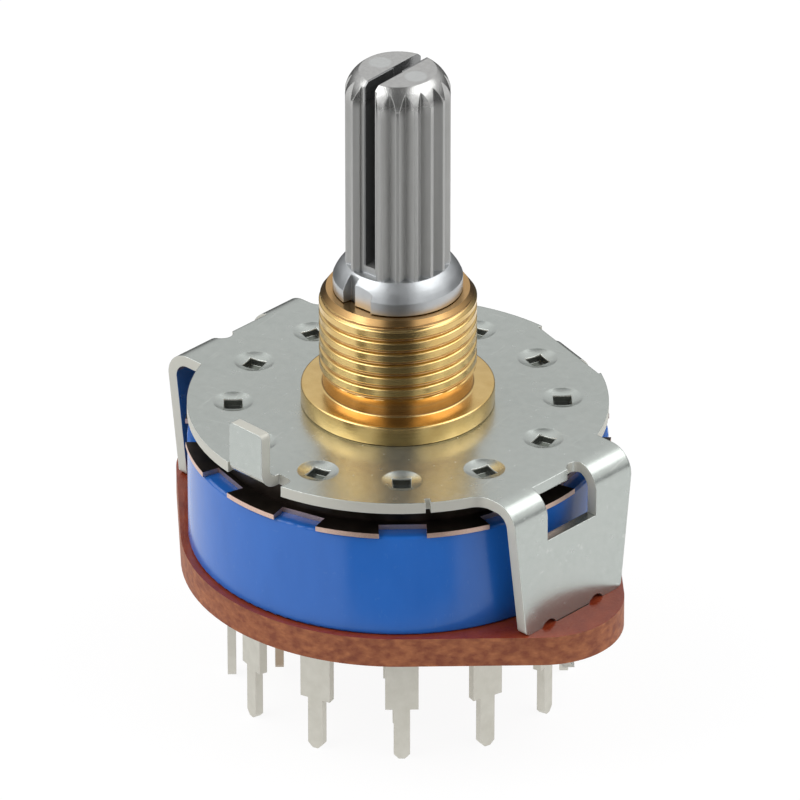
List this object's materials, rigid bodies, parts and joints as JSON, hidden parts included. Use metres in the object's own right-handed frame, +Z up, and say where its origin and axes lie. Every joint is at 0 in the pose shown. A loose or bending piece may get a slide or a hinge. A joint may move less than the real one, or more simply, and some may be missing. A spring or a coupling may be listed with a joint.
{
  "type": "rotary switch",
  "caption": "Panel and circuit-board rotary switch with knurled split shaft, threaded bushing, folded plate, blue housing and blade terminals.",
  "frame": {"origin": "on the shaft's axis, in the plane of the bushing flange's top face, where the panel seats", "axes": "+Z up the shaft, out of the panel; -Y is the front of the picture, with the tick in the plate's rim; the locating lug is at 46 degrees from -Y towards -X"},
  "size_m": [0.0262, 0.0262, 0.0392],
  "materials": {
    "zinc_casting": "satin die-cast zinc",
    "turned_brass": "bright turned brass",
    "plated_steel": "matte plated sheet steel",
    "dark_bronze": "dark bronze sheet with bright cut edges",
    "blue_moulding": "glossy blue moulding",
    "laminate": "glossy red-brown laminate",
    "plated_contact": "plated contact metal",
    "natural_moulding": "natural engineering plastic",
    "spring_steel": "hardened steel",
    "wiper_bronze": "sprung bronze"
  },
  "bodies": {
    "stator": {"threaded_bushing": "turned_brass", "mounting_plate": "plated_steel", "stop_ring": "dark_bronze", "housing": "blue_moulding", "terminal_base": "laminate", "throw_terminal_01": "plated_contact", "throw_terminal_02": "plated_contact", "throw_terminal_03": "plated_contact", "throw_terminal_04": "plated_contact", "throw_terminal_05": "plated_contact", "throw_terminal_06": "plated_contact", "throw_terminal_07": "plated_contact", "throw_terminal_08": "plated_contact", "throw_terminal_09": "plated_contact", "throw_terminal_10": "plated_contact", "throw_terminal_11": "plated_contact", "throw_terminal_12": "plated_contact", "common_terminal_a": "plated_contact", "common_terminal_b": "plated_contact", "common_terminal_c": "plated_contact", "common_terminal_d": "plated_contact"},
    "turning_group": {"shaft": "zinc_casting", "rotor": "natural_moulding", "retaining_ring": "spring_steel", "detent_ball_1": "spring_steel", "detent_ball_2": "spring_steel", "detent_spring_1": "spring_steel", "detent_spring_2": "spring_steel", "wiper_a": "wiper_bronze", "wiper_b": "wiper_bronze", "wiper_c": "wiper_bronze", "wiper_d": "wiper_bronze"}
  },
  "joints": [
    {"name": "shaft_turn", "type": "hinge", "parent": "stator", "child": "turning_group", "pos_m": [0, 0, 0], "axis": [0, 0, 1], "range_deg": [-30, 30]}
  ]
}
